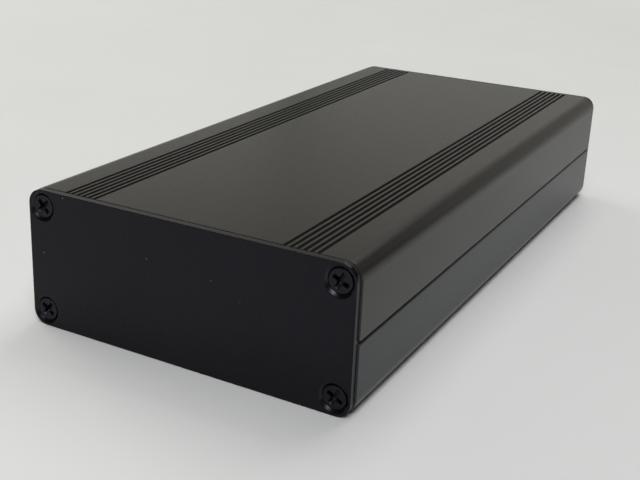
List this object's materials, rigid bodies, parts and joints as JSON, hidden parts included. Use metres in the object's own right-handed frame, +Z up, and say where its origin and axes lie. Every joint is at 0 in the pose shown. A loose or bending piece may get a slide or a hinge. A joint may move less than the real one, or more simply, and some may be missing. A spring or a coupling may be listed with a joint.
{
  "type": "logic analyzer",
  "caption": "Flat dark anodised aluminium box with a blank end panel, grooved top and, at the rear, a latched probe header, USB socket, button and status lights.",
  "frame": {"origin": "centre of the case's flat underside", "axes": "+Z up, +Y towards the connector panel, -Y towards the blank end panel, X across the width"},
  "size_m": [0.064, 0.1423, 0.0255],
  "materials": {
    "anodised_shell": "fine bead-blasted dark grey anodising, satin",
    "anodised_panel": "black anodised flat plate, satin, slightly dusty",
    "black_screw": "black oxide, satin",
    "circuit_board": "green solder mask on glass-epoxy board",
    "chip_epoxy": "moulded black epoxy, matte",
    "tinned_lead": "tin plated copper, bright",
    "resistor_glaze": "glazed film on ceramic",
    "ceramic": "sintered tan ceramic",
    "tantalum_case": "moulded yellow resin",
    "ferrite": "pressed dark grey ferrite",
    "oscillator_lid": "welded metal lid",
    "led_lens": "milky lens",
    "clear_plastic": "clear moulded acrylic",
    "connector_steel": "nickel plated drawn steel",
    "connector_plastic": "black glass-filled plastic",
    "gold_contact": "gold flash over nickel",
    "latch_plastic": "black moulded plastic",
    "button_plastic": "dark grey moulded plastic"
  },
  "bodies": {
    "case": {"top_shell": "anodised_shell", "bottom_shell": "anodised_shell", "front_panel": "anodised_panel", "rear_panel": "anodised_panel", "front_screws": "black_screw", "rear_screws": "black_screw", "main_board": "circuit_board", "logic_chip": "chip_epoxy", "memory_chip": "chip_epoxy", "usb_chip": "chip_epoxy", "buffer_chips": "chip_epoxy", "config_chip": "chip_epoxy", "clamp_arrays": "chip_epoxy", "regulators": "chip_epoxy", "logic_chip_leads": "tinned_lead", "memory_chip_leads": "tinned_lead", "buffer_chip_leads": "tinned_lead", "config_chip_leads": "tinned_lead", "clamp_array_leads": "tinned_lead", "chip_terminals": "tinned_lead", "bulk_capacitor_tabs": "tinned_lead", "regulator_leads": "tinned_lead", "resistor_arrays": "resistor_glaze", "ceramic_capacitors": "ceramic", "bulk_capacitors": "tantalum_case", "power_inductor": "ferrite", "clock_oscillator": "oscillator_lid", "status_leds": "led_lens", "light_pipes": "clear_plastic", "usb_shell": "connector_steel", "usb_tongue": "connector_plastic", "usb_contacts": "gold_contact", "header_shroud": "connector_plastic", "header_pins": "gold_contact", "switch_body": "connector_plastic", "service_header": "connector_plastic", "service_pins": "gold_contact"},
    "left_latch": {"latch_left": "latch_plastic"},
    "right_latch": {"latch_right": "latch_plastic"},
    "button": {"trigger_button": "button_plastic"}
  },
  "joints": [
    {"name": "left_latch_hinge", "type": "hinge", "parent": "case", "child": "left_latch", "pos_m": [-0.0237, 0.0626, 0.01205], "axis": [0, 0, 1], "range_deg": [0, 28]},
    {"name": "right_latch_hinge", "type": "hinge", "parent": "case", "child": "right_latch", "pos_m": [0.0063, 0.0626, 0.01205], "axis": [0, 0, -1], "range_deg": [0, 28]},
    {"name": "button_press", "type": "slide", "parent": "case", "child": "button", "axis": [0, -1, 0], "range_m": [0, 0.001], "stiffness_N_per_m": 900, "springref_m": -0.001}
  ]
}
